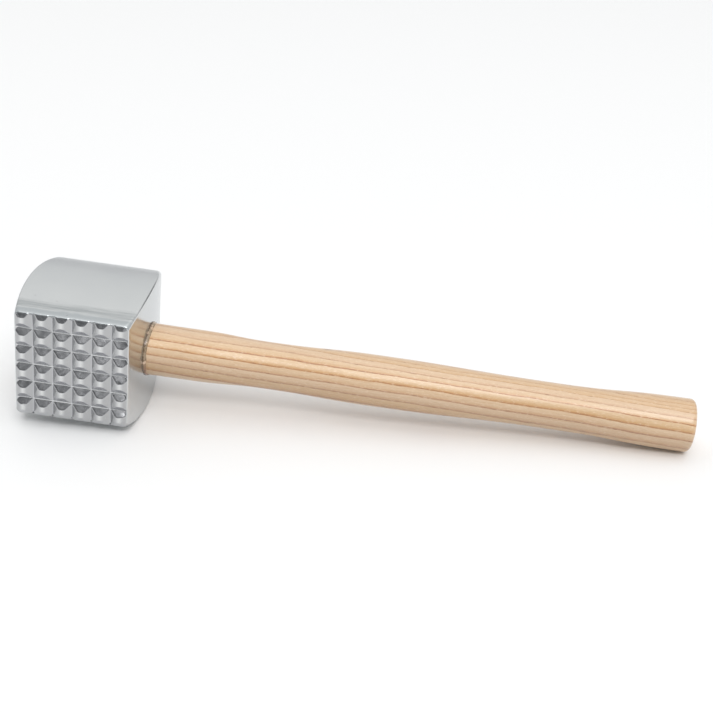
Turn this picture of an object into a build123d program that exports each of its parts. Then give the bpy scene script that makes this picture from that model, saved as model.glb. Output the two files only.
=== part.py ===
from build123d import *
import os

# A two-sided meat mallet: a cast aluminium head with a toothed striking face at each end of its
# depth, on a turned ash handle that passes through an eye in the head and is wedged and glued there.
#
# Frame: the origin is the centre of the butt's flat end, on the handle's axis. +X runs along the
# handle and out of the butt, so the head is at -X. The coarse striking face looks along -Y and the
# fine one along +Y. +Z is up. Lengths are in millimetres.

# Head
HANDLE_REACH = 300.0  # butt end to the middle of the head
FACE_SIZE = 54.6  # each striking face is this square, measured at the tooth tips
HEAD_DEPTH = 66.5  # coarse tooth tips to fine tooth tips
SIDE_CROWN = 5.0  # how far the top and the bottom swell at mid depth
END_CROWN = 3.2  # how far the two ends swell at mid depth
LONG_EDGE_RADIUS = 1.4  # along the four crowned edges
FACE_EDGE_RADIUS = 0.6  # round each striking face

# Teeth: count along one side, pitch, width of the flat tip, height
COARSE_TEETH = 6
COARSE_PITCH = 9.5
COARSE_TIP = 3.4
COARSE_HEIGHT = 2.2
FINE_TEETH = 9
FINE_PITCH = 6.2
FINE_TIP = 1.8
FINE_HEIGHT = 1.6
GROOVE_FLOOR = 0.4  # the narrow flat at the bottom of each groove

# Handle, as the radii of its turned stations
NECK_RADIUS = 12.9
FIRST_WAIST_RADIUS = 11.65
BELLY_RADIUS = 12.8
SECOND_WAIST_RADIUS = 11.5
BUTT_RADIUS = 13.15
BUTT_EDGE_RADIUS = 2.5
BUTT_LAND = 5.0  # the short parallel stretch before the butt's rounded edge

# The same stations, as distances from the middle of the head
NECK_END = 53.5
FIRST_WAIST = 91.0
BELLY = 144.0
SECOND_WAIST = 235.5

# Eye, bond line and bead
BOND_LINE = 0.25  # adhesive thickness between tenon and eye
EYE_FLARE = 1.2  # how much the eye's radius grows towards its far mouth
FLARE_LENGTH = 30.0
BEAD_WIDTH = 1.5  # along the handle
BEAD_HEIGHT = 0.7  # out from the handle

# Wedges
KERF_WIDTH = 1.2
KERF_DEPTH = 42.0
KERF_WEDGE_THICKNESS = 4.2
KERF_WEDGE_LENGTH = 34.0
STEEL_WEDGE_THICKNESS = 2.4
STEEL_WEDGE_TIP = 0.5
STEEL_WEDGE_LENGTH = 15.0
STEEL_WEDGE_WIDTH = 15.0
STEEL_WEDGE_OFFSET = 6.5  # each side of the middle of the tenon

HEAD_X = -HANDLE_REACH
HALF_FACE = FACE_SIZE / 2
HALF_DEPTH = HEAD_DEPTH / 2
HALF_LENGTH = HALF_FACE + END_CROWN  # middle of the head to either end, at mid depth
HALF_HEIGHT = HALF_FACE + SIDE_CROWN
NEAR_END_X = HEAD_X + HALF_LENGTH
FAR_END_X = HEAD_X - HALF_LENGTH
FLARE_START_X = FAR_END_X + FLARE_LENGTH
OVERRUN = 5.0  # how far a cutting solid reaches past what it cuts


def crowned_outline(crown):
    """A striking face's width at each end of the depth, swelling by the crown between them."""
    right = ThreePointArc((HALF_FACE, -HALF_DEPTH), (HALF_FACE + crown, 0), (HALF_FACE, HALF_DEPTH))
    left = ThreePointArc((-HALF_FACE, HALF_DEPTH), (-HALF_FACE - crown, 0), (-HALF_FACE, -HALF_DEPTH))
    back = Line(right @ 1, left @ 0)
    front = Line(left @ 1, right @ 0)
    return make_face([right, back, left, front])


def head_block():
    """The head before its teeth and eye: crowned top and bottom, and crowned ends."""
    seen_from_above = extrude(crowned_outline(END_CROWN), amount=2 * HALF_HEIGHT, both=True)
    # The same outline stood on edge: its width becomes Z and its depth stays Y.
    side_outline = crowned_outline(SIDE_CROWN).rotate(Axis.Y, 90)
    seen_from_the_end = extrude(side_outline, amount=2 * HALF_LENGTH, dir=(1, 0, 0), both=True)
    block = (seen_from_above & seen_from_the_end).solid()
    flat_ends = block.faces().filter_by(Axis.Y)
    long_edges = [e for e in block.edges() if all(e not in f.edges() for f in flat_ends)]
    block = fillet(long_edges, LONG_EDGE_RADIUS).solid()
    block = fillet(block.faces().filter_by(Axis.Y).edges(), FACE_EDGE_RADIUS).solid()
    return Pos(HEAD_X, 0, 0) * block


def groove_cutters(count, pitch, tip, height, facing):
    """Crossed V grooves that leave flat-topped pyramids, on the face that looks along facing * Y."""
    half_top = (pitch - tip) / 2
    half_floor = GROOVE_FLOOR / 2
    slope = (half_top - half_floor) / height
    half_outer = half_top + slope * OVERRUN
    section = Polyline(
        (-half_floor, HALF_DEPTH - height),
        (half_floor, HALF_DEPTH - height),
        (half_outer, HALF_DEPTH + OVERRUN),
        (-half_outer, HALF_DEPTH + OVERRUN),
        close=True,
    )
    upright = extrude(make_face(section), amount=FACE_SIZE, both=True)
    if facing < 0:
        upright = upright.rotate(Axis.Z, 180)
    level = upright.rotate(Axis.Y, 90)
    cutters = []
    for i in range(count + 1):
        offset = (i - count / 2) * pitch
        cutters.append(Pos(HEAD_X + offset, 0, 0) * upright)
        cutters.append(Pos(HEAD_X, 0, offset) * level)
    return cutters


def eye_outline(clearance):
    """Half section of the eye, parallel at the handle's side and flared at the far one."""
    radius = NECK_RADIUS + clearance
    return [
        (FAR_END_X - OVERRUN, radius + EYE_FLARE * (FLARE_LENGTH + OVERRUN) / FLARE_LENGTH),
        (FLARE_START_X, radius),
    ]


def turned(profile):
    """A solid of revolution about the handle's axis."""
    return revolve(make_face(profile), axis=Axis.X).solid()


def eye_space():
    far, start = eye_outline(BOND_LINE)
    mouth_x = NEAR_END_X + OVERRUN
    return turned(Polyline((far[0], 0), far, start, (mouth_x, start[1]), (mouth_x, 0), close=True))


def swell(start, end):
    """A smooth stretch of the turned profile that is parallel to the axis at both stations."""
    middle = (start[0] + end[0]) / 2
    return Bezier(start, (middle, start[1]), (middle, end[1]), end)


def handle_blank():
    """The turned handle with its tenon spread to fill the flared eye, before it is slotted."""
    far, start = eye_outline(0)
    neck_end = (HEAD_X + NECK_END, NECK_RADIUS)
    land_start = (-BUTT_EDGE_RADIUS - BUTT_LAND, BUTT_RADIUS)
    land_end = (-BUTT_EDGE_RADIUS, BUTT_RADIUS)
    butt_rim = (0, BUTT_RADIUS - BUTT_EDGE_RADIUS)
    stations = [
        neck_end,
        (HEAD_X + FIRST_WAIST, FIRST_WAIST_RADIUS),
        (HEAD_X + BELLY, BELLY_RADIUS),
        (HEAD_X + SECOND_WAIST, SECOND_WAIST_RADIUS),
        land_start,
    ]
    profile = [Polyline((far[0], 0), far, start, neck_end)]
    profile += [swell(a, b) for a, b in zip(stations, stations[1:])]
    profile.append(Line(land_start, land_end))
    profile.append(RadiusArc(land_end, butt_rim, BUTT_EDGE_RADIUS))
    profile.append(Polyline(butt_rim, (0, 0), (far[0], 0)))
    return turned(profile)


def past_far_end(block):
    """What lies beyond the head's crowned far end, used to trim the tenon flush."""
    return Pos(FAR_END_X, 0, 0) * Box(4 * OVERRUN, FACE_SIZE, FACE_SIZE) - block


def tapered_plate(thick, thin, length, width):
    """A wedge that enters along +X from the far end, thick across Z and wide across Y."""
    slope = (thick - thin) / length
    outer = thick / 2 + slope * OVERRUN / 2
    section = Plane.XZ * Polyline(
        (-OVERRUN, -outer),
        (length, -thin / 2),
        (length, thin / 2),
        (-OVERRUN, outer),
        close=True,
    )
    return Pos(FAR_END_X, 0, 0) * extrude(make_face(section), amount=width / 2, both=True)


def steel_wedge(side):
    """A small steel wedge set across the wooden one, on the given side of the tenon's middle."""
    plate = tapered_plate(
        STEEL_WEDGE_THICKNESS, STEEL_WEDGE_TIP, STEEL_WEDGE_LENGTH, STEEL_WEDGE_WIDTH
    )
    return Pos(0, side * STEEL_WEDGE_OFFSET, 0) * plate.rotate(Axis.X, 90)


def bead(head):
    """The rounded ring of squeezed-out adhesive where the handle enters the head."""
    inner_x = NEAR_END_X - BEAD_WIDTH  # inside the head, so that the cut leaves no gap
    outer_radius = NECK_RADIUS + BEAD_HEIGHT
    rim = EllipticalCenterArc((NEAR_END_X, NECK_RADIUS), BEAD_WIDTH, BEAD_HEIGHT, arc_size=90)
    back = Polyline(rim @ 1, (inner_x, outer_radius), (inner_x, NECK_RADIUS), rim @ 0)
    return turned([rim, back]) - head


def save(shape, node):
    solid = shape.solid()
    solid.label = node
    export_step(solid, f"parts/{node}.step")


block = head_block()
coarse = groove_cutters(COARSE_TEETH, COARSE_PITCH, COARSE_TIP, COARSE_HEIGHT, -1)
fine = groove_cutters(FINE_TEETH, FINE_PITCH, FINE_TIP, FINE_HEIGHT, 1)
head = block - coarse - fine - eye_space()

blank = handle_blank()
film = (eye_space() - blank) & block
adhesive = film + bead(head)

steel_wedges = {"front": steel_wedge(-1) & block, "back": steel_wedge(1) & block}
wedge_space = tapered_plate(KERF_WEDGE_THICKNESS, KERF_WIDTH, KERF_WEDGE_LENGTH, FACE_SIZE)
kerf = tapered_plate(KERF_WIDTH, KERF_WIDTH, KERF_DEPTH, FACE_SIZE)
kerf_wedge = wedge_space & blank & block
handle = blank - past_far_end(block) - wedge_space - kerf
for wedge in steel_wedges.values():
    kerf_wedge = kerf_wedge - wedge
    handle = handle - wedge

os.makedirs("parts", exist_ok=True)
save(head, "head")
save(handle, "handle")
save(kerf_wedge, "kerf_wedge")
save(adhesive, "eye_adhesive")
for name, wedge in steel_wedges.items():
    save(wedge, f"steel_wedge_{name}")
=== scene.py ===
import math

import bmesh
import bpy
import numpy as np
from mathutils import Matrix, Vector


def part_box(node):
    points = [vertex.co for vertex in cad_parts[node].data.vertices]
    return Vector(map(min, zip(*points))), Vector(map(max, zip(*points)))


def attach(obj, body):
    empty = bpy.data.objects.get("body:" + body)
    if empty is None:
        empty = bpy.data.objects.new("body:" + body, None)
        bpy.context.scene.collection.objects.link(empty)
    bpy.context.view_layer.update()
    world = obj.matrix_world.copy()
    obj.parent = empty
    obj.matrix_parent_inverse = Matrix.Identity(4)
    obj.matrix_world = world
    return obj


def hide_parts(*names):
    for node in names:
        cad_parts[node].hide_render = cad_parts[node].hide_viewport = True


# A two-sided meat mallet. Lengths are in millimetres until a mesh is made, in the CAD frame:
# +X runs along the handle and out of its butt, the coarse face looks along -Y, and +Z is up.
MM = 0.001
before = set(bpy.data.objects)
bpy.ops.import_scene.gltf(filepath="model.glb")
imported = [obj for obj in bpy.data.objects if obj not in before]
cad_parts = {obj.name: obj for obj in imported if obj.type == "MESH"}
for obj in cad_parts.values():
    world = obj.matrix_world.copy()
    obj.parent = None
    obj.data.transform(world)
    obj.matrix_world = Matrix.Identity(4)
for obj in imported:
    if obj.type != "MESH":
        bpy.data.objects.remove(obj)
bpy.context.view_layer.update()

# The head's sizes come from the frame.
head_low, head_high = (np.array(corner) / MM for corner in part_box("head"))
HEAD_X = (head_low[0] + head_high[0]) / 2
HALF_DEPTH = head_high[1]
END_CROWN = 3.2
SIDE_CROWN = 5.0
HALF_FACE = head_high[2] - SIDE_CROWN
LONG_EDGE_RADIUS = 1.35  # at mid depth; the corners of the faces are rounder
CORNER_EXTRA = 1.5
FACE_EDGE_RADIUS = 0.45
LIP_RADIUS = 0.5  # round the eye's two mouths
TENON_RADIUS = 12.9
BOND_LINE = 0.25
EYE_FLARE = 1.2
FLARE_LENGTH = 30.0
FLARE_START = HEAD_X - HALF_FACE - END_CROWN + FLARE_LENGTH

# Teeth. "top" is half the width of the flat tip before it is domed, "slope" is the flanks' fall,
# "dome" is the radius of the tip's dome, and "lines" are the grid's places over half a tooth.
# A dent is its centre on the face, its depth and its radius.
CELLS = 180  # grid cells along one side of a striking face, for both tooth counts
COARSE = {
    "count": 6, "pitch": 9.5, "top": 1.42, "slope": 0.68, "height": 2.2, "dome": 30.0,
    "lines": (0, 0.1, 0.2, 0.32, 0.55, 0.9, 1.3, 1.7, 2.1, 2.45, 2.75, 3.05, 3.35, 3.7, 4.15, 4.75),
    "seed": 5,
    "dents": (
        ((4.9, 7.3), 0.34, 2.1),
        ((23.0, -2.2), 0.6, 1.4),
        ((24.9, -22.4), 0.4, 1.5),
        ((-23.2, -21.5), 0.4, 1.6),
    ),
    "grain": {"offset": 0, "wavelength": 2.6, "seed": 3},
}
FINE = {
    "count": 9, "pitch": 6.2, "top": 0.68, "slope": 0.70, "height": 1.6, "dome": 14.0,
    "lines": (0, 0.1, 0.2, 0.36, 0.65, 1.0, 1.35, 1.7, 2.05, 2.5, 3.1),
    "seed": 8,
    "dents": (),
    "grain": {"offset": 9, "wavelength": 2.2, "seed": 4},
}

# How much single teeth differ from each other, in pitches.
FLANK_SPREAD = 0.013
DOME_SHIFT = 0.03
# Widths over which a tooth's surfaces blend into each other.
SIDE_BLEND = 0.45
LEVEL_BLEND = 0.14
FLOOR_BLEND = 0.06
DENT_BLEND = 0.15
GRAIN_DEPTH = 0.006


def crown(y, rise):
    """How far a crowned side stands out at depth y."""
    radius = (HALF_DEPTH**2 + rise**2) / (2 * rise)
    return rise - (radius - np.sqrt(radius**2 - np.minimum(np.abs(y), HALF_DEPTH) ** 2))


def edge_radius(y):
    """The long edges' radius at depth y."""
    return LONG_EDGE_RADIUS + CORNER_EXTRA * (np.minimum(np.abs(y), HALF_DEPTH) / HALF_DEPTH) ** 8


def smooth_max(a, b, width):
    """The greater of two, with the crease between them rounded where they differ by under width."""
    return np.maximum(a, b) + np.maximum(width - np.abs(a - b), 0) ** 2 / (4 * width)


def smooth_min(a, b, width):
    return -smooth_max(-a, -b, width)


def ripple(p, wavelength, seed):
    """A smooth pattern in about -1 to 1 over points p, the same on every run."""
    waves = 7
    rng = np.random.default_rng(seed)
    total = np.zeros(len(p))
    for _ in range(waves):
        direction = rng.normal(size=3)
        direction /= np.linalg.norm(direction)
        length = wavelength * rng.uniform(0.7, 1.6)
        total += np.sin(p @ direction * 2 * math.pi / length + rng.uniform(0, 6.28))
    return total / (waves / 2)


def new_object(name, verts, faces, weld, **attributes):
    """A smooth-shaded piece from points in millimetres, with those closer than weld joined."""
    mesh = bpy.data.meshes.new(name)
    mesh.from_pydata([tuple(v) for v in np.asarray(verts) * MM], [], faces)
    for key, values in attributes.items():
        mesh.attributes.new(key, "FLOAT", "POINT").data.foreach_set("value", values)
    bm = bmesh.new()
    bm.from_mesh(mesh)
    bmesh.ops.remove_doubles(bm, verts=bm.verts, dist=weld * MM)
    unused = [v for v in bm.verts if not v.link_faces]
    bmesh.ops.delete(bm, geom=unused, context="VERTS")
    bmesh.ops.recalc_face_normals(bm, faces=bm.faces)
    bm.to_mesh(mesh)
    bm.free()
    mesh.shade_smooth()
    obj = bpy.data.objects.new(name, mesh)
    bpy.context.collection.objects.link(obj)
    return obj


def grid_faces(rows, columns, start=0, closed=False):
    """Quads over rows x columns points numbered row by row from start."""
    faces = []
    for i in range(rows - 1):
        for j in range(columns if closed else columns - 1):
            a = start + i * columns + j
            b = start + i * columns + (j + 1) % columns
            faces.append((a, b, b + columns, a + columns))
    return faces


def on_circle(x, radius, angle):
    """Points about the handle's axis."""
    return np.stack([x + 0 * angle, radius * np.cos(angle), radius * np.sin(angle)], 1)


# ---------------------------------------------------------------- head

def face_lines(teeth):
    """Grid lines from edge to edge of a face, closer together where its teeth turn."""
    half = list(teeth["lines"])
    pitch = teeth["pitch"]
    one = half + [pitch - t for t in reversed(half[:-1])]
    lines = []
    for i in range(teeth["count"]):
        lines += [(i - teeth["count"] / 2) * pitch + t for t in one[:-1]]
    lines.append(teeth["count"] / 2 * pitch)
    lines = np.array(lines)
    limit = HALF_FACE - FACE_EDGE_RADIUS
    last = (teeth["count"] - 1) / 2 * pitch  # middle of the outermost teeth
    squeeze = (limit - last) / (lines[-1] - last)
    outside = np.abs(lines) > last
    lines[outside] = np.sign(lines[outside]) * (last + (np.abs(lines[outside]) - last) * squeeze)
    return lines / limit


def tooth_depth(x, z, teeth):
    """How far the surface lies behind the plane of the tooth tips: domed teeth with flat flanks."""
    pitch, height = teeth["pitch"], teeth["height"]
    shift = 0.5 * (teeth["count"] % 2)
    i = np.floor(x / pitch - shift).astype(int)
    j = np.floor(z / pitch - shift).astype(int)
    u = x - (i + 0.5 + shift) * pitch
    v = z - (j + 0.5 + shift) * pitch
    # Every tooth, and every flank of it, differs a little from its neighbours.
    table = np.random.default_rng(teeth["seed"]).uniform(-1, 1, size=(24, 24, 8))
    own = table[i + 12, j + 12].T
    spread = FLANK_SPREAD * pitch
    top_u = teeth["top"] + spread * np.where(u > 0, own[0], own[1])
    top_v = teeth["top"] + spread * np.where(v > 0, own[2], own[3])
    flank_u = teeth["slope"] * (np.abs(u) - top_u)
    flank_v = teeth["slope"] * (np.abs(v) - top_v)
    dome_u, dome_v = u - DOME_SHIFT * pitch * own[4], v - DOME_SHIFT * pitch * own[5]
    dome = (dome_u**2 + dome_v**2) / (2 * teeth["dome"] * (1 + 0.1 * own[6])) + 0.02 * (1 + own[7])
    depth = smooth_max(smooth_max(flank_u, dome, SIDE_BLEND), flank_v, LEVEL_BLEND)
    # The grooves come up at the rim, but little at the bottom of the face.
    edge = HALF_FACE - np.maximum(np.abs(x), np.abs(z))
    bottom = np.clip((4 - z - np.abs(x)) / 8, 0, 1)
    floor_depth = (0.42 + 0.26 * bottom) * height + (0.9 - 0.3 * bottom) * edge
    floor_depth = np.minimum(floor_depth, height)
    depth = np.clip(smooth_min(depth, floor_depth, FLOOR_BLEND), 0, height)
    # Use and tumbling brighten the domes most. Below 0 are the dull flanks and grooves, and at -1
    # is a painted highlight: a brighter line along the bottom of each level groove.
    # Towards the upright flanks the dome's brightness fades slowly, which is painted shading;
    # towards the level flanks it ends sharply.
    polish_and_shading_u = np.clip(0.15 + (dome - flank_u) / 1.0, 0, 1)
    polish_v = np.clip(0.5 + (dome - flank_v) / 0.25, 0, 1)
    dull = np.clip((flank_v - np.maximum(flank_u, dome)) / 0.1, 0, 1)
    dull = np.maximum(dull, np.clip((flank_u / height - 0.88) / 0.06, 0, 1))
    # The painted highlight along the bottom of each level groove.
    painted_light_line = np.clip((flank_v / height - 0.91) / 0.05, 0, 1) * (flank_v > flank_u)
    return depth, np.minimum(polish_and_shading_u, polish_v) - 0.3 * dull - 0.7 * painted_light_line


def face_depth(x, z, teeth):
    """The teeth with their knocks and casting flaws, and the faint unevenness of the metal."""
    depth, polish_and_painted_light = tooth_depth(x, z, teeth)
    for centre, deep, radius in teeth["dents"]:
        distance = ((x - centre[0]) ** 2 + (z - centre[1]) ** 2) / radius**2
        depth = smooth_max(depth, deep * (1 - distance), DENT_BLEND)
    grain = teeth["grain"]
    points = np.stack([x, x * 0 + grain["offset"], z], 1)
    uneven = GRAIN_DEPTH * (1 + ripple(points, grain["wavelength"], grain["seed"]))
    return np.clip(depth + uneven, 0, teeth["height"]), polish_and_painted_light


def rounded(x, z, half_x, half_z, radius):
    """Pulls points outside the corner arcs of a rectangle onto them."""
    dx = np.maximum(np.abs(x) - (half_x - radius), 0)
    dz = np.maximum(np.abs(z) - (half_z - radius), 0)
    size = np.hypot(dx, dz)
    square = np.maximum(dx, dz)
    scale = np.where((dx > 0) & (dz > 0), square / np.maximum(size, 1e-9), 1)
    return (
        np.sign(x) * np.where(dx > 0, half_x - radius + dx * scale, np.abs(x)),
        np.sign(z) * np.where(dz > 0, half_z - radius + dz * scale, np.abs(z)),
    )


def ring_indices():
    """The face grid's outermost points, in order round it."""
    n = CELLS
    ring = [(i, 0) for i in range(n)] + [(n, j) for j in range(n)]
    ring += [(n - i, n) for i in range(n)] + [(0, n - j) for j in range(n)]
    return np.array(ring)


def striking_face(teeth, side):
    """Points over one striking face, how deep it is along its rim, and its shine from wear and
    painted light.
    """
    half = HALF_FACE - FACE_EDGE_RADIUS
    lines = face_lines(teeth)
    u, v = (g.ravel() for g in np.meshgrid(lines, lines, indexing="ij"))
    depth, polish_and_painted_light = face_depth(u * half, v * half, teeth)
    y = HALF_DEPTH - depth
    # Towards the rim the grid spreads to meet the crowned sides.
    near_rim = np.maximum(np.abs(u), np.abs(v)) ** 12
    half_x = half + crown(y, END_CROWN) * near_rim
    half_z = half + crown(y, SIDE_CROWN) * near_rim
    x, z = rounded(u * half_x, v * half_z, half_x, half_z, edge_radius(y) - FACE_EDGE_RADIUS)
    verts = np.stack([HEAD_X + x, side * y, z], 1)
    ring = ring_indices()
    rim = HALF_DEPTH - y.reshape(CELLS + 1, -1)[ring[:, 0], ring[:, 1]]
    return verts, rim, polish_and_painted_light


ROUND = 4 * CELLS  # points round the head's sides
SIDE_ROWS = 27
SIDE_BUNCHING = 1.3  # draws the rows of the sides together towards the faces
SIDE_MARGIN = 3.4  # from the plane of the tooth tips to the first of those rows
MOUTH_HALF_DEPTH = 18.2  # the sides' grid is opened round each mouth of the eye, this far along Y
MOUTH_HALF_WIDTH = 0.66  # and this share of the face's half width along Z
CAST_RIM = 3.3  # how far behind the tooth tips the cast skin reaches on the lower rims
UNEVEN = 0.03  # how far in grinding has taken the sides, typically
GROUND_MARGIN = 3.5  # how far behind the tooth tips that begins


def side_rows(front_rim, back_rim):
    """(y, inset) of each row of points round the head, from the front rim to the back one."""
    def rim_rows(side, rim, turns):
        # The rim rounds over from the face to the side.
        for turn in turns:
            inset = FACE_EDGE_RADIUS * (1 - math.cos(turn))
            yield side * (HALF_DEPTH - rim - FACE_EDGE_RADIUS * (1 - math.sin(turn))), inset

    arc = np.linspace(0, math.pi / 2, 5)
    spread = np.sin(np.linspace(-SIDE_BUNCHING, SIDE_BUNCHING, SIDE_ROWS)) / math.sin(SIDE_BUNCHING)
    rows = list(rim_rows(-1, front_rim, arc[::-1]))
    rows += [(np.full(ROUND, y), 0.0) for y in spread * (HALF_DEPTH - SIDE_MARGIN)]
    return rows + list(rim_rows(1, back_rim, arc))


def mouth_cells(side, rows, columns):
    """The cells of the sides' grid to open at one end of the head, and the loop round them."""
    def ring_place(row, column, step):
        j = CELLS + column if side > 0 else 4 * CELLS - column - step
        return row * ROUND + j % ROUND

    (r0, r1), (c0, c1) = rows, columns
    opened = {ring_place(r, c, 1) for r in range(r0, r1) for c in range(c0, c1)}
    corners = [(r0, c) for c in range(c0, c1)] + [(r, c1) for r in range(r0, r1)]
    corners += [(r1, c) for c in range(c1, c0, -1)] + [(r, c0) for r in range(r1, r0, -1)]
    return opened, [ring_place(r, c, 0) for r, c in corners]


def mouth_rings(side, square):
    """Rings that narrow from an opened square to the eye's mouth, and then round over its lip."""
    angle = np.arctan2(square[:, 2], square[:, 1])
    radius = TENON_RADIUS + BOND_LINE + (EYE_FLARE if side < 0 else 0)
    rings = []
    for f in np.linspace(0, 1, 8):
        y = square[:, 1] * (1 - f) + np.cos(angle) * (radius + LIP_RADIUS) * f
        z = square[:, 2] * (1 - f) + np.sin(angle) * (radius + LIP_RADIUS) * f
        x = HEAD_X + side * (HALF_FACE + crown(y, END_CROWN))
        rings.append(np.stack([x, y, z], 1))
    for turn in (30, 60, 90):
        turn = math.radians(turn)
        out = radius + LIP_RADIUS * (1 - math.sin(turn))
        sunk = LIP_RADIUS * (1 - math.cos(turn))
        x = HEAD_X + side * (HALF_FACE + crown(np.cos(angle) * out, END_CROWN) - sunk)
        rings.append(on_circle(x, out, angle))
    return rings


def bore_rings(near, far):
    """Rings from the eye's near lip to its far one."""
    rings = [near]
    for f in (0.25, 0.5, 0.75):
        p = near * (1 - f) + far * f
        flare = np.clip((FLARE_START - p[:, 0]) / FLARE_LENGTH, 0, 1) * EYE_FLARE
        angle = np.arctan2(p[:, 2], p[:, 1])
        rings.append(on_circle(p[:, 0], TENON_RADIUS + BOND_LINE + flare, angle))
    return rings + [far]


def head_mesh():
    front, back = face_lines(COARSE), face_lines(FINE)
    front_verts, front_rim, front_polish_and_light = striking_face(COARSE, -1)
    back_verts, back_rim, back_polish_and_light = striking_face(FINE, 1)
    ring = ring_indices()
    rows = side_rows(front_rim, back_rim)
    sides = []
    for y, inset in rows:
        share = (y + HALF_DEPTH) / (2 * HALF_DEPTH)
        lines_u = front[ring[:, 0]] * (1 - share) + back[ring[:, 0]] * share
        lines_v = front[ring[:, 1]] * (1 - share) + back[ring[:, 1]] * share
        half_x = HALF_FACE + crown(y, END_CROWN) - inset
        half_z = HALF_FACE + crown(y, SIDE_CROWN) - inset
        x, z = rounded(lines_u * half_x, lines_v * half_z, half_x, half_z, edge_radius(y) - inset)
        sides.append(np.stack([HEAD_X + x, y, z], 1))
    # The innermost row of each rim is the rim of its face exactly.
    rim_points = ring[:, 0] * (CELLS + 1) + ring[:, 1]
    sides[0] = front_verts[rim_points]
    sides[-1] = back_verts[rim_points]
    points, faces = [np.concatenate(sides)], []

    def add_rings(rings):
        start = sum(map(len, points))
        points.append(np.concatenate(rings))
        faces.extend(grid_faces(len(rings), len(rings[0]), start, closed=True))

    # The eye: the sides' grid is opened at both ends, and joined to the bore between them.
    inside = [i for i, (y, _) in enumerate(rows) if abs(y[0]) < MOUTH_HALF_DEPTH]
    across = [j for j in range(CELLS + 1) if abs(front[j]) < MOUTH_HALF_WIDTH]
    near_opened, near_loop = mouth_cells(1, (inside[0], inside[-1]), (across[0], across[-1]))
    far_opened, far_loop = mouth_cells(-1, (inside[0], inside[-1]), (across[0], across[-1]))
    opened = near_opened | far_opened
    side_faces = grid_faces(len(rows), ROUND, closed=True)
    faces += [face for i, face in enumerate(side_faces) if i not in opened]
    near, far = mouth_rings(1, points[0][near_loop]), mouth_rings(-1, points[0][far_loop])
    for rings in (near, far, bore_rings(near[-1], far[-1])):
        add_rings(rings)
    # The lower rims were left as cast, and the upper ones shine from use.
    outer = np.concatenate(points)
    near_face = np.abs(outer[:, 1]) > HALF_DEPTH - CAST_RIM
    low_rim = near_face & (outer[:, 2] < 2 - HALF_FACE)
    polish_and_painted_light, cast = [np.zeros(len(outer))], [low_rim.astype(float)]
    for cap, bright in ((front_verts, front_polish_and_light), (back_verts, back_polish_and_light)):
        faces += grid_faces(CELLS + 1, CELLS + 1, sum(map(len, points)))
        points.append(cap)
        polish_and_painted_light.append(bright)
        cast.append(np.ones(len(cap)))
    verts = np.concatenate(points)
    # Ground sides are never quite even. The teeth and the rims keep their places.
    ground = np.abs(verts[:, 1]) < HALF_DEPTH - GROUND_MARGIN
    push = UNEVEN * ripple(verts, 26, 11) * ground
    local = verts - np.array([HEAD_X, 0, 0])
    scale = 1 - np.abs(push) / np.maximum(np.hypot(local[:, 0], local[:, 2]), 1)
    verts[:, 0] = HEAD_X + local[:, 0] * scale
    verts[:, 2] = local[:, 2] * scale
    marks = {"polish_and_painted_light": np.concatenate(polish_and_painted_light), "cast": np.concatenate(cast)}
    return new_object("mallet_head", verts, faces, weld=0.004, **marks)


# ---------------------------------------------------------------- handle

NECK_X = HEAD_X + 53.5
LAND_X = -7.5  # from here to its rounded edge the butt is parallel
BUTT_RADIUS = 13.15
BUTT_EDGE = 2.5
STATIONS = [
    (NECK_X, TENON_RADIUS),
    (HEAD_X + 91.0, 11.65),
    (HEAD_X + 144.0, 12.8),
    (HEAD_X + 235.5, 11.5),
    (LAND_X, BUTT_RADIUS),
]
TENON_SUNK = 0.12  # sanding leaves the end grain a little below the metal, and its edge more
TENON_EDGE_SUNK = 0.3


def turned_profile():
    """(x, radius) along the handle, from the head's mouth to the middle of the butt."""
    mouth = HEAD_X + HALF_FACE
    profile = [(x, TENON_RADIUS) for x in np.linspace(mouth, NECK_X, 12)[:-1]]
    # A curve that is parallel to the axis at both of its stations, as in the CAD.
    for (xa, ra), (xb, rb) in zip(STATIONS, STATIONS[1:]):
        for t in np.linspace(0, 1, 25)[:-1]:
            x = xa + (xb - xa) * (1.5 * t * (1 - t) + t**3)
            r = ra + (rb - ra) * (3 * t * t - 2 * t**3)
            profile.append((x, r))
    profile += [(x, BUTT_RADIUS) for x in np.linspace(LAND_X, -BUTT_EDGE, 6)[:-1]]
    for turn in np.linspace(0, math.pi / 2, 10):
        x = -BUTT_EDGE * (1 - math.sin(turn))
        profile.append((x, BUTT_RADIUS - BUTT_EDGE * (1 - math.cos(turn))))
    rim = BUTT_RADIUS - BUTT_EDGE
    return profile + [(0.0, rim * share) for share in (0.97, 0.85, 0.66, 0.44, 0.2)]


def far_end_x(y):
    """Where the crowned far end of the head is, at depth y."""
    return HEAD_X - HALF_FACE - crown(y, END_CROWN)


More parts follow.
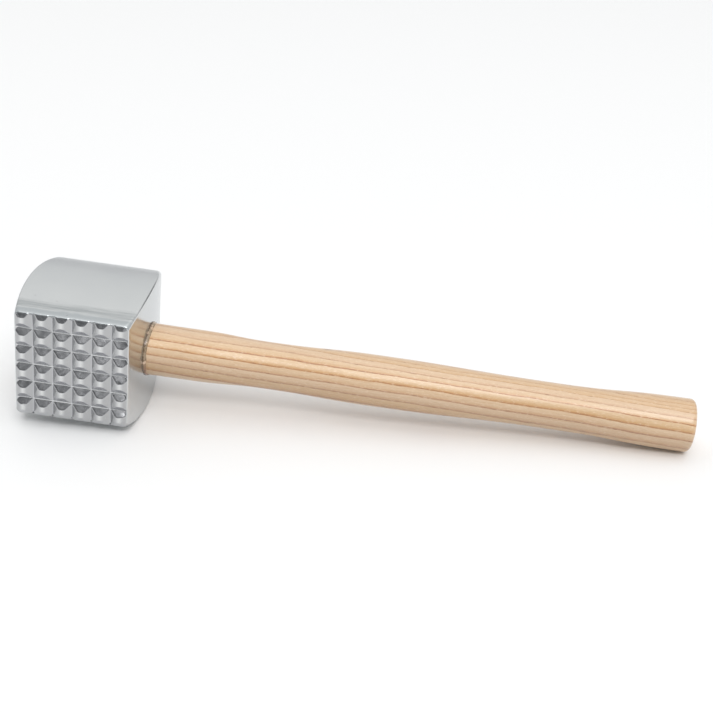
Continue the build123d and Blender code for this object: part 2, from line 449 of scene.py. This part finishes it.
def handle_mesh():
    around = 120
    angle = np.linspace(0, 2 * math.pi, around, endpoint=False)
    c, s = np.cos(angle), np.sin(angle)
    rings = []
    # The tenon's end follows the head's crowned end.
    end_radius = TENON_RADIUS + EYE_FLARE
    for share in (0.05, 0.2, 0.4, 0.6, 0.8, 0.93, 0.985):
        y, z = c * share * end_radius, s * share * end_radius
        rings.append(np.stack([far_end_x(y) + TENON_SUNK, y, z], 1))
    edge_x = far_end_x(c * end_radius) + TENON_EDGE_SUNK
    for f in np.linspace(0, 1, 9)[:-1]:
        x = edge_x * (1 - f) + FLARE_START * f
        rings.append(on_circle(x, TENON_RADIUS + EYE_FLARE * (1 - f), angle))
    for x in np.linspace(HEAD_X, HEAD_X + HALF_FACE, 6)[:-1]:
        rings.append(on_circle(x, TENON_RADIUS, angle))
    rings += [on_circle(x, r, angle) for x, r in turned_profile()]
    verts = np.concatenate(rings)
    # Sanding leaves the turned surface very slightly uneven, clear of the head and the butt's end.
    out = np.hypot(verts[:, 1], verts[:, 2])
    free = np.clip((verts[:, 0] - HEAD_X - 32) / 10, 0, 1) * np.clip(-(verts[:, 0] + 2) / 6, 0, 1)
    stretched = verts * np.array([0.22, 1, 1])
    change = 1 + free * (0.07 * ripple(stretched, 13, 21) - 0.05) / np.maximum(out, 1)
    verts[:, 1:] *= change[:, None]
    n = len(rings)
    faces = grid_faces(n, around, 0, closed=True)
    faces.append(tuple(range(around - 1, -1, -1)))
    faces.append(tuple((n - 1) * around + i for i in range(around)))
    return new_object("ash_handle", verts, faces, weld=0.001)


# ---------------------------------------------------------------- adhesive

def adhesive_mesh():
    """The bond line in the eye with the bead that was squeezed out of it."""
    around = 240
    angle = np.linspace(0, 2 * math.pi, around, endpoint=False)
    c, s = np.cos(angle), np.sin(angle)
    spots = np.stack([20 * c, 20 * s, 0 * c], 1)
    lumps = 0.6 * ripple(spots, 17, 31) + 0.4 * ripple(spots, 6, 32)
    wide = 1.3 + 0.28 * lumps + 0.4 * np.clip(s, 0, 1) ** 4
    tall = 0.45 + 0.16 * np.roll(lumps, 9) + 0.12 * np.clip(s, 0, 1) ** 2
    sunk = 0.03  # into the metal and the wood, so that no gap shows
    rings = []
    for turn in np.linspace(0, math.pi / 2, 13):
        r = TENON_RADIUS - sunk + (BOND_LINE + tall) * math.cos(turn) ** 1.1
        sag = 1 + 0.10 * np.roll(lumps, 40) * math.sin(2 * turn)
        face_x = HEAD_X + HALF_FACE + crown(c * r, END_CROWN)
        rings.append(on_circle(face_x - sunk + wide * math.sin(turn) ** 1.2 * sag, r, angle))
    bead_rings = len(rings)
    # The film runs along the tenon to the far end, and back along the eye.
    mouth = HEAD_X + HALF_FACE
    film = (mouth, mouth - 8, FLARE_START)
    rings += [on_circle(x, TENON_RADIUS, angle) for x in film]
    for r in (TENON_RADIUS + EYE_FLARE, TENON_RADIUS + EYE_FLARE + BOND_LINE):
        rings.append(on_circle(far_end_x(c * r) + 0.08, r, angle))
    rings += [on_circle(x, TENON_RADIUS + BOND_LINE, angle) for x in film[::-1]]
    rings.append(rings[0])
    crest = np.zeros((len(rings), around))
    crest[:bead_rings] = np.sin(np.linspace(0, math.pi, bead_rings))[:, None]
    faces = grid_faces(len(rings), around, 0, closed=True)
    return new_object("eye_glue", np.concatenate(rings), faces, weld=0.001, crest=crest.ravel())


head = head_mesh()
handle = handle_mesh()
glue = adhesive_mesh()
for piece, node, slot_name in (
    (head, "head", "cast_aluminium"),
    (handle, "handle", "ash_wood"),
    (glue, "eye_adhesive", "adhesive"),
):
    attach(piece, "root")
    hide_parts(node)


# ---------------------------------------------------------------- materials

class Nodes:
    """Short ways to add and join shader nodes. A value is a number, a tuple or another's output."""

    def __init__(self, tree):
        self.tree = tree

    def add(self, kind, inputs=(), **settings):
        node = self.tree.nodes.new("ShaderNode" + kind)
        for key, value in settings.items():
            setattr(node, key, value)
        for key, value in dict(inputs).items():
            self.feed(node.inputs[key], value)
        return node

    def feed(self, socket, value):
        if isinstance(value, bpy.types.NodeSocket):
            self.tree.links.new(value, socket)
        else:
            socket.default_value = value

    def math(self, operation, *values):
        return self.add("Math", enumerate(values), operation=operation).outputs[0]

    def plus(self, a, b):
        return self.math("ADD", a, b)

    def minus(self, a, b):
        return self.math("SUBTRACT", a, b)

    def times(self, a, b):
        return self.math("MULTIPLY", a, b)

    def dot(self, a, b):
        return self.add("VectorMath", {0: a, 1: b}, operation="DOT_PRODUCT").outputs[1]

    def axes(self, vector):
        return self.add("SeparateXYZ", {0: vector}).outputs

    def mark(self, name):
        """A mesh attribute."""
        return self.add("Attribute", attribute_name=name).outputs["Fac"]

    def mapped(self, vector, scale, offset=(0, 0, 0)):
        node = self.add("Mapping", {"Vector": vector, "Scale": scale, "Location": offset})
        return node.outputs[0]

    def noise(self, vector, scale, detail, rough, offset=(0, 0, 0)):
        """Noise with one scale, or with one for each axis."""
        if isinstance(scale, tuple):
            vector, scale = self.mapped(vector, scale, offset), 1.0
        inputs = {"Vector": vector, "Scale": scale, "Detail": detail, "Roughness": rough}
        return self.add("TexNoise", inputs).outputs[0]

    def span(self, value, low, high, to_low=0.0, to_high=1.0, smooth=True):
        """Maps low to high onto to_low to to_high, and holds the ends beyond them."""
        inputs = {"Value": value, 1: low, 2: high, 3: to_low, 4: to_high}
        kind = "SMOOTHSTEP" if smooth else "LINEAR"
        node = self.add("MapRange", inputs, interpolation_type=kind, clamp=True)
        return node.outputs[0]

    def mix(self, factor, a, b, blend="MIX"):
        node = self.add("Mix", data_type="RGBA", blend_type=blend)
        self.feed(node.inputs[0], factor)
        self.feed(node.inputs[6], a)
        self.feed(node.inputs[7], b)
        return node.outputs[2]

    def ramp(self, value, stops, interpolation="LINEAR"):
        node = self.add("ValToRGB", {"Fac": value})
        node.color_ramp.interpolation = interpolation
        elements = node.color_ramp.elements
        while len(elements) < len(stops):
            elements.new(0.5)
        for element, (place, _) in zip(elements, stops):
            element.position = place
        for element, (_, colour) in zip(elements, stops):
            element.color = colour
        return node.outputs[0]


def srgb(r, g, b):
    """A colour for a socket from its 0 to 255 sRGB values."""
    def linear(c):
        c /= 255
        return c / 12.92 if c <= 0.04045 else ((c + 0.055) / 1.055) ** 2.4
    return (linear(r), linear(g), linear(b), 1.0)


def material(name):
    """A new material, its nodes, its shader, and the place on the piece in millimetres."""
    mat = bpy.data.materials.new(name)
    mat.use_nodes = True
    n = Nodes(mat.node_tree)
    place = n.add("TexCoord").outputs["Object"]
    millimetres = n.add("VectorMath", {0: place, "Scale": 1 / MM}, operation="SCALE").outputs[0]
    return mat, n, mat.node_tree.nodes["Principled BSDF"], millimetres


def bump(n, shader, height, distance):
    """Relief from a height of about 0 to 1, over this many millimetres."""
    inputs = {"Height": height, "Distance": distance * MM, "Strength": 1.0}
    n.feed(shader.inputs["Normal"], n.add("Bump", inputs).outputs[0])


def cast_aluminium():
    mat, n, shader, p = material("cast_aluminium")
    x, y, _ = n.axes(p)
    toothed = n.mark("cast")
    polish_and_painted_light = n.mark("polish_and_painted_light")
    # The ends are told from the other sides by how far out they are, with their crown allowed for.
    bulge = n.times(n.times(y, y), END_CROWN / HALF_DEPTH**2)
    outward = n.plus(n.math("ABSOLUTE", n.minus(x, HEAD_X)), bulge)
    end_x = HALF_FACE + END_CROWN
    end_side = n.span(outward, end_x - 0.5, end_x - 0.1)
    coarse_grain = n.noise(p, 0.55, 3, 0.6)
    fine_grain = n.noise(p, 3.2, 3, 0.6)
    cloud = n.noise(p, 0.06, 3, 0.55)
    # Belt-ground sides: faint streaks along X, a few of them deeper.
    streaks = n.noise(p, (0.05, 1.6, 1.6), 4, 0.6)
    scratch = n.span(n.noise(p, (0.02, 4.0, 4.0), 2, 0.5, (3, 0, 0)), 0.66, 0.74)
    pits = n.add("TexVoronoi", {"Vector": p, "Scale": 0.16}, feature="F1").outputs[0]
    pit = n.span(pits, 0.055, 0.03)
    ground = n.mix(cloud, (0.735, 0.75, 0.755, 1), (0.795, 0.805, 0.80, 1))
    # Painted reflections: a darker line just behind the coarse face, and a bluer band before it.
    wander = n.noise(p, (0.05, 0.3, 0.3), 3, 0.6, (0, 4, 0))
    to_face = n.plus(y, n.span(wander, 0.2, 0.8, -1.2, 1.2))
    broken = n.noise(p, (0.04, 0.9, 0.9), 3, 0.6, (2, 0, 0))
    # The darker line is painted reflection, broken up along its length.
    painted_light_line = n.times(n.span(to_face, -28.6, -26.4), n.span(to_face, -20.5, -25.4))
    painted_light_line = n.times(painted_light_line, n.span(broken, 0.3, 0.65, 0.4, 1.0))
    ground = n.mix(painted_light_line, ground, (0.49, 0.51, 0.515, 1))
    # The bluer band before it is painted reflection too.
    ground = n.mix(n.span(to_face, -27.4, -29.0, 0, 0.9), ground, (0.53, 0.56, 0.575, 1))
    end = n.mix(cloud, (0.63, 0.64, 0.645, 1), (0.69, 0.695, 0.69, 1))
    ground = n.mix(end_side, ground, end)
    # The toothed faces: dull flanks and grooves, a painted highlight along the level grooves, and
    # bright tips.
    flank = n.mix(coarse_grain, (0.44, 0.445, 0.455, 1), (0.50, 0.505, 0.51, 1))
    flank = n.mix(n.span(polish_and_painted_light, 0.0, -0.3), flank, (0.50, 0.505, 0.52, 1))
    # Painted highlight: the pale line along the bottom of each level groove.
    flank = n.mix(n.span(polish_and_painted_light, -0.4, -1.0), flank, (0.70, 0.705, 0.71, 1))
    tip = n.mix(fine_grain, (0.65, 0.655, 0.655, 1), (0.74, 0.745, 0.745, 1))
    base = n.mix(toothed, ground, n.mix(polish_and_painted_light, flank, tip))
    base = n.mix(n.times(pit, 0.6), base, (0.20, 0.20, 0.21, 1))
    n.feed(shader.inputs["Base Color"], base)
    shader.inputs["Metallic"].default_value = 1.0
    shader.inputs["Specular Tint"].default_value = (0.86, 0.87, 0.88, 1)
    smooth_side = n.span(n.plus(streaks, n.times(cloud, 0.6)), 0.55, 1.1, 0.19, 0.27)
    smooth_side = n.minus(smooth_side, n.times(end_side, 0.06))
    cast = n.span(coarse_grain, 0.3, 0.7, 0.20, 0.27)
    rough = n.add("Mix", {0: toothed, 2: smooth_side, 3: cast}).outputs[0]
    n.feed(shader.inputs["Roughness"], n.plus(rough, n.times(pit, 0.3)))
    side = n.plus(n.times(streaks, 0.16), n.times(fine_grain, 0.10))
    side = n.minus(side, n.times(scratch, 0.12))
    teeth = n.plus(n.times(coarse_grain, 0.12), n.times(fine_grain, 0.05))
    height = n.add("Mix", {0: toothed, 2: side, 3: teeth}).outputs[0]
    bump(n, shader, n.minus(height, n.times(pit, 2.0)), 0.012)
    return mat


def ash_wood():
    mat, n, shader, p = material("ash_wood")
    along, _, height = n.axes(p)
    # Growth rings about an axis well below the handle, which the handle leaves by a degree. w is
    # how far out from that axis a point is, less the same for the handle's own axis.
    slow = n.noise(p, (0.011, 0.03, 0.03), 2, 0.5)
    ragged = n.noise(p, (0.07, 0.35, 0.35), 3, 0.55, (7, 0, 0))
    ring_radius = 130.0
    across = n.dot(p, (0.0, -0.877, 0.48))
    bow = n.math("DIVIDE", n.times(across, across), 2 * ring_radius)
    w = n.plus(n.dot(p, (0.0, 0.48, 0.877)), bow)
    w = n.plus(w, n.times(n.plus(along, 271.0), 0.0175))
    w = n.plus(w, n.span(slow, 0.2, 0.8, -0.9, 0.9, smooth=False))
    w = n.plus(w, n.span(ragged, 0.2, 0.8, -0.27, 0.27, smooth=False))
    lowest_line, ring_width = 14.4, 4.04
    wide = n.math("DIVIDE", n.plus(w, lowest_line), ring_width)
    # From 5.8 mm up the rings are closer together, from 11.2 mm closer still, and most of all
    # towards the butt.
    upper = n.times(n.math("MAXIMUM", n.minus(w, 5.8), 0.0), 0.123)
    top = n.times(n.math("MAXIMUM", n.minus(w, 11.2), 0.0), 0.255)
    crowd = n.span(along, -230.0, -120.0, 0.35, 1.0)
    rings = n.plus(wide, n.times(crowd, n.plus(upper, top)))
    ring = n.math("FRACT", rings)
    number = n.math("FLOOR", rings)
    own = n.add("TexWhiteNoise", {"W": number}, noise_dimensions="1D").outputs[0]
    # Early wood is a thin dark line that stops sharply below and fades above.
    colour = n.ramp(ring, [
        (0.0, srgb(184, 126, 78)),
        (0.05, srgb(162, 98, 52)),
        (0.12, srgb(184, 126, 76)),
        (0.22, srgb(212, 167, 118)),
        (0.5, srgb(223, 190, 150)),
        (0.95, srgb(229, 201, 165)),
        (1.0, srgb(208, 164, 120)),
    ])
    # The lines fade on the top.
    colour = n.mix(n.span(w, 8.6, 10.4, 0, 0.6), colour, srgb(221, 187, 146))
    # Each ring has its own tone, from yellow to pinkish cream.
    colour = n.mix(n.span(own, 0.5, 1.0, 0, 0.4), colour, srgb(232, 208, 184))
    colour = n.mix(n.span(own, 0.45, 0.0, 0, 0.25), colour, srgb(218, 178, 124))
    # Fibres, and open pores, which are short dashes, mostly in the early wood.
    fibre = n.noise(p, (0.06, 5.0, 5.0), 4, 0.65)
    strand = n.noise(p, (0.022, 1.15, 1.15), 3, 0.6, (5, 0, 2))
    colour = n.mix(n.span(strand, 0.5, 0.8, 0.0, 0.5), colour, srgb(206, 160, 114))
    colour = n.mix(n.span(fibre, 0.35, 0.75, 0.0, 0.34), colour, srgb(190, 144, 100))
    mottle = n.noise(p, (0.5, 1.4, 1.4), 3, 0.65, (8, 1, 4))
    colour = n.mix(n.span(mottle, 0.48, 0.72, 0.0, 0.42), colour, srgb(240, 218, 190))
    pores = n.span(n.noise(p, (0.28, 4.2, 4.2), 1, 0.4, (0, 3, 1)), 0.60, 0.70)
    early = n.span(ring, 0.22, 0.02)
    pore = n.times(pores, n.plus(n.times(early, 0.8), 0.15))
    colour = n.mix(pore, colour, srgb(150, 98, 62))
    smudge = n.noise(p, (0.02, 0.06, 0.06), 3, 0.6, (1, 2, 9))
    colour = n.mix(n.span(smudge, 0.45, 0.8, 0.0, 0.2), colour, srgb(212, 174, 134))
    # A small dark mark on top, before the belly.
    spot = n.add("VectorMath", {0: p, 1: (-181.5, 3.0, 12.0)}, operation="SUBTRACT").outputs[0]
    spot = n.mapped(spot, (0.28, 0.9, 0.9))
    spot = n.add("VectorMath", {0: spot}, operation="LENGTH").outputs[1]
    colour = n.mix(n.span(spot, 1.1, 0.2, 0, 0.55), colour, srgb(120, 92, 72))
    # Painted shade: the lower side is a little darker.
    painted_underside_shade = n.span(height, 8.0, -4.0, 0, 0.85)
    colour = n.mix(painted_underside_shade, colour, (0.74, 0.72, 0.70, 1), "MULTIPLY")
    n.feed(shader.inputs["Base Color"], colour)
    rough = n.plus(n.span(fibre, 0.2, 0.8, 0.36, 0.5), n.times(pore, 0.25))
    n.feed(shader.inputs["Roughness"], rough)
    shader.inputs["Coat Weight"].default_value = 0.8
    shader.inputs["Coat Roughness"].default_value = 0.28
    relief = n.minus(n.times(fibre, 0.6), n.times(pore, 1.6))
    relief = n.minus(relief, n.times(early, 0.5))
    relief = n.plus(relief, n.times(mottle, 1.4))
    bump(n, shader, relief, 0.03)
    return mat


def adhesive():
    mat, n, shader, p = material("adhesive")
    cloud = n.noise(p, 0.35, 3, 0.6)
    low = n.span(n.axes(p)[2], 4.0, -8.0)
    olive = n.mix(cloud, srgb(140, 122, 98), srgb(172, 152, 124))
    brown = n.mix(cloud, srgb(104, 68, 44), srgb(158, 112, 78))
    colour = n.mix(low, olive, brown)
    # Painted shade where the bead meets the metal and the wood, reaching over the bead in places.
    crest = n.mark("crest")
    crease_shade_breakup = n.noise(p, 0.8, 3, 0.6)
    dark = n.span(n.plus(crest, n.span(crease_shade_breakup, 0.3, 0.7, 0.25, -0.55)), 0.75, 0.25)
    colour = n.mix(dark, colour, srgb(112, 88, 64))
    # Painted highlights: pale patches on the glue in a few places.
    painted_highlight_patches = n.span(n.noise(p, 0.42, 2, 0.5), 0.54, 0.64)
    colour = n.mix(n.times(painted_highlight_patches, 0.8), colour, srgb(214, 184, 156))
    n.feed(shader.inputs["Base Color"], colour)
    n.feed(shader.inputs["Roughness"], n.span(cloud, 0.3, 0.7, 0.12, 0.3))
    shader.inputs["Coat Weight"].default_value = 0.5
    shader.inputs["Coat Roughness"].default_value = 0.08
    bump(n, shader, n.noise(p, 1.6, 3, 0.6), 0.08)
    return mat


def wedge_wood():
    mat, n, shader, p = material("wedge_wood")
    fibre = n.noise(p, (0.1, 3.0, 3.0), 4, 0.65)
    cloud = n.noise(p, 0.3, 3, 0.6)
    colour = n.mix(fibre, srgb(120, 78, 50), srgb(176, 124, 82))
    colour = n.mix(n.span(cloud, 0.4, 0.8, 0, 0.5), colour, srgb(92, 58, 38))
    n.feed(shader.inputs["Base Color"], colour)
    n.feed(shader.inputs["Roughness"], n.span(fibre, 0.2, 0.8, 0.42, 0.62))
    bump(n, shader, fibre, 0.05)
    return mat


def wedge_steel():
    mat, n, shader, p = material("wedge_steel")
    streaks = n.noise(p, (3.0, 0.15, 3.0), 4, 0.6)
    cloud = n.noise(p, 0.5, 3, 0.6)
    rust = n.span(cloud, 0.58, 0.72)
    colour = n.mix(cloud, (0.30, 0.30, 0.31, 1), (0.48, 0.48, 0.49, 1))
    colour = n.mix(n.times(rust, 0.5), colour, srgb(96, 62, 44))
    n.feed(shader.inputs["Base Color"], colour)
    n.feed(shader.inputs["Metallic"], n.minus(1.0, n.times(rust, 0.6)))
    n.feed(shader.inputs["Roughness"], n.span(streaks, 0.2, 0.8, 0.3, 0.5))
    bump(n, shader, streaks, 0.02)
    return mat


finishes = {
    "head": cast_aluminium(),
    "handle": ash_wood(),
    "eye_adhesive": adhesive(),
    "kerf_wedge": wedge_wood(),
    "steel_wedge_front": wedge_steel(),
    "steel_wedge_back": wedge_steel(),
}
for piece, node in ((head, "head"), (handle, "handle"), (glue, "eye_adhesive")):
    piece.data.materials.append(finishes[node])
for node in ("kerf_wedge", "steel_wedge_front", "steel_wedge_back"):
    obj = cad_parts[node]
    for i in range(len(obj.material_slots)):
        obj.material_slots[i].material = finishes[node]


# ---------------------------------------------------------------- studio

# The tool rests on the head's lower edge beside the handle, and on the butt.
REST_X = -271 * MM
REST_Z = -32.3 * MM
FLOOR_TILT = math.radians(4.05)

bpy.ops.mesh.primitive_plane_add(size=8.0)
floor = bpy.context.object
floor.name = "floor"
floor.matrix_world = Matrix.Translation((REST_X, 0, REST_Z)) @ Matrix.Rotation(-FLOOR_TILT, 4, "Y")
floor_mat = bpy.data.materials.new("floor")
floor_mat.use_nodes = True
floor_shader = floor_mat.node_tree.nodes["Principled BSDF"]
floor_shader.inputs["Base Color"].default_value = (0.95, 0.95, 0.95, 1)
floor_shader.inputs["Roughness"].default_value = 0.9
floor_shader.inputs["Specular IOR Level"].default_value = 0.1
floor.data.materials.append(floor_mat)

world = bpy.data.worlds.new("studio")
bpy.context.scene.world = world
world.use_nodes = True
w = Nodes(world.node_tree)
direction = w.add("TexCoord").outputs["Generated"]
up = w.axes(direction)[2]
sky = w.ramp(up, [
    (0.0, (0.60, 0.60, 0.61, 1)),
    (0.30, (0.74, 0.75, 0.755, 1)),
    (0.86, (0.80, 0.81, 0.81, 1)),
    (0.95, (1.25, 1.25, 1.25, 1)),
    (1.0, (1.4, 1.4, 1.4, 1)),
], "EASE")


def toward(azimuth, elevation):
    """A direction from the tool, with azimuth 0 in front of it and 90 beyond its butt."""
    a, e = math.radians(azimuth), math.radians(elevation)
    return Vector((math.sin(a) * math.cos(e), -math.cos(a) * math.cos(e), math.sin(e)))


# The unlit side of the room, in front and to the left.
near = w.dot(direction, tuple(toward(-25, 40)))
shade = w.span(near, math.cos(math.radians(34)), math.cos(math.radians(21)))
# A doorway, low behind the head and to the right.
behind = w.dot(direction, tuple(toward(149, 13)))
doorway = w.span(behind, math.cos(math.radians(24)), math.cos(math.radians(12)))
dark = w.math("MAXIMUM", w.times(shade, 0.92), w.times(doorway, 0.7))
# The room in front is dimmer near the floor.
ahead = w.span(w.dot(direction, (0, -1, 0)), 0.1, 0.5)
low = w.times(w.times(ahead, w.span(up, 0.5, 0.15)), 0.65)
dark = w.math("MAXIMUM", dark, low)
w.feed(
    world.node_tree.nodes["Background"].inputs["Color"],
    w.mix(dark, sky, (0.05, 0.055, 0.06, 1)),
)


def softbox(name, azimuth, elevation, size, power):
    """A rectangular light that looks at the middle of the tool from 5 m away."""
    data = bpy.data.lights.new(name, "AREA")
    data.shape = "RECTANGLE"
    data.size, data.size_y = size
    data.energy = power
    obj = bpy.data.objects.new(name, data)
    bpy.context.collection.objects.link(obj)
    centre = Vector((-0.2, 0, 0))
    way = toward(azimuth, elevation)
    obj.location = centre + way * 5.0
    obj.rotation_euler = (-way).to_track_quat("-Z", "Y").to_euler()


softbox("key", azimuth=10, elevation=66, size=(5.0, 1.8), power=34)
softbox("strip", azimuth=9, elevation=50, size=(3.0, 1.1), power=84)

cam_data = bpy.data.cameras.new("camera")
cam_data.lens = 66.57
cam_data.sensor_width = 36
camera = bpy.data.objects.new("camera", cam_data)
bpy.context.collection.objects.link(camera)
eye = Vector((-138.51, -567.10, 321.02)) * MM
target = Vector((-166.97, 0, 11.96)) * MM
look = (target - eye).to_track_quat("-Z", "Y")
ROLL = math.radians(6.719)
camera.matrix_world = (
    Matrix.Translation(eye) @ look.to_matrix().to_4x4() @ Matrix.Rotation(ROLL, 4, "Z")
)
bpy.context.scene.camera = camera
bpy.context.scene.view_settings.view_transform = "Standard"
